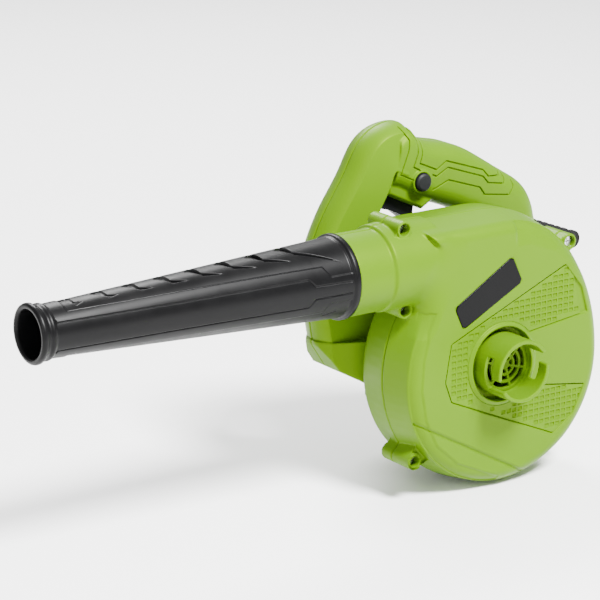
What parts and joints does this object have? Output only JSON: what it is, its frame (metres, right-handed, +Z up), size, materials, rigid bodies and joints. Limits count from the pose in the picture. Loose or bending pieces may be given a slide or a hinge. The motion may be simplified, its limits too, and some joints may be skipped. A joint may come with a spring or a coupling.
{
  "type": "leaf blower",
  "caption": "Corded hand-held leaf blower: snail fan housing with a bayonet side inlet, tapered blow nozzle, closed D handle with trigger and lock button, and a motor barrel behind.",
  "frame": {"origin": "centre of the inlet collar's rim, on the fan axis", "axes": "+Y along the fan axis from the inlet towards the motor, +Z up, nozzle points to -X"},
  "size_m": [0.4975, 0.164, 0.2508],
  "materials": {
    "green_shell": "satin moulded green plastic",
    "black_plastic": "satin moulded black plastic",
    "black_button": "fine matt black plastic",
    "label": "gloss black printed plate, blank",
    "fan_plastic": "glass-filled nylon",
    "steel": "plain steel",
    "zinc": "bright zinc-plated steel",
    "laminations": "stacked electrical steel",
    "copper": "enamelled copper wire",
    "brass": "brass",
    "carbon": "pressed carbon",
    "rubber": "soft black rubber",
    "film_plastic": "moulded capacitor case"
  },
  "bodies": {
    "housing": {"volute_cover": "green_shell", "middle_housing": "green_shell", "rear_housing": "green_shell", "inlet_grille": "green_shell", "label_plate": "label", "front_bearing": "steel", "rear_bearing": "steel", "stator_core": "laminations", "field_coils": "copper", "brush_holders": "brass", "carbon_brushes": "carbon", "brush_springs": "steel", "brush_caps": "black_button", "trigger_pin": "steel", "switch_body": "black_plastic", "trigger_spring": "steel", "lock_spring": "steel", "capacitor": "film_plastic", "cord_gland": "rubber", "cord_clamp": "black_plastic", "cover_screws": "zinc", "housing_screws": "zinc"},
    "rotor": {"impeller": "fan_plastic", "impeller_washer": "zinc", "impeller_nut": "zinc", "motor_shaft": "steel", "cooling_fan": "fan_plastic", "armature_core": "laminations", "armature_windings": "copper", "commutator": "copper"},
    "nozzle": {"nozzle_tube": "black_plastic"},
    "trigger": {"trigger": "black_button"},
    "lock_button": {"lock_button": "black_button"}
  },
  "joints": [
    {"name": "fan_spin", "type": "hinge", "parent": "housing", "child": "rotor", "pos_m": [0, 0.054, 0], "axis": [0, 1, 0], "continuous": true},
    {"name": "nozzle_twist", "type": "hinge", "parent": "housing", "child": "nozzle", "pos_m": [-0.12, 0.054, 0.075], "axis": [1, 0, 0], "range_deg": [0, 20]},
    {"name": "trigger_pull", "type": "hinge", "parent": "housing", "child": "trigger", "pos_m": [-0.042, 0.114, 0.1132], "axis": [0, -1, 0], "range_deg": [0, 8], "stiffness_Nm_per_rad": 0.4, "springref_deg": -8.59, "deforming": ["trigger_spring"]},
    {"name": "lock_button_press", "type": "slide", "parent": "housing", "child": "lock_button", "axis": [0, 1, 0], "range_m": [0, 0.0025], "stiffness_N_per_m": 400, "springref_m": -0.002, "deforming": ["lock_spring"]}
  ]
}
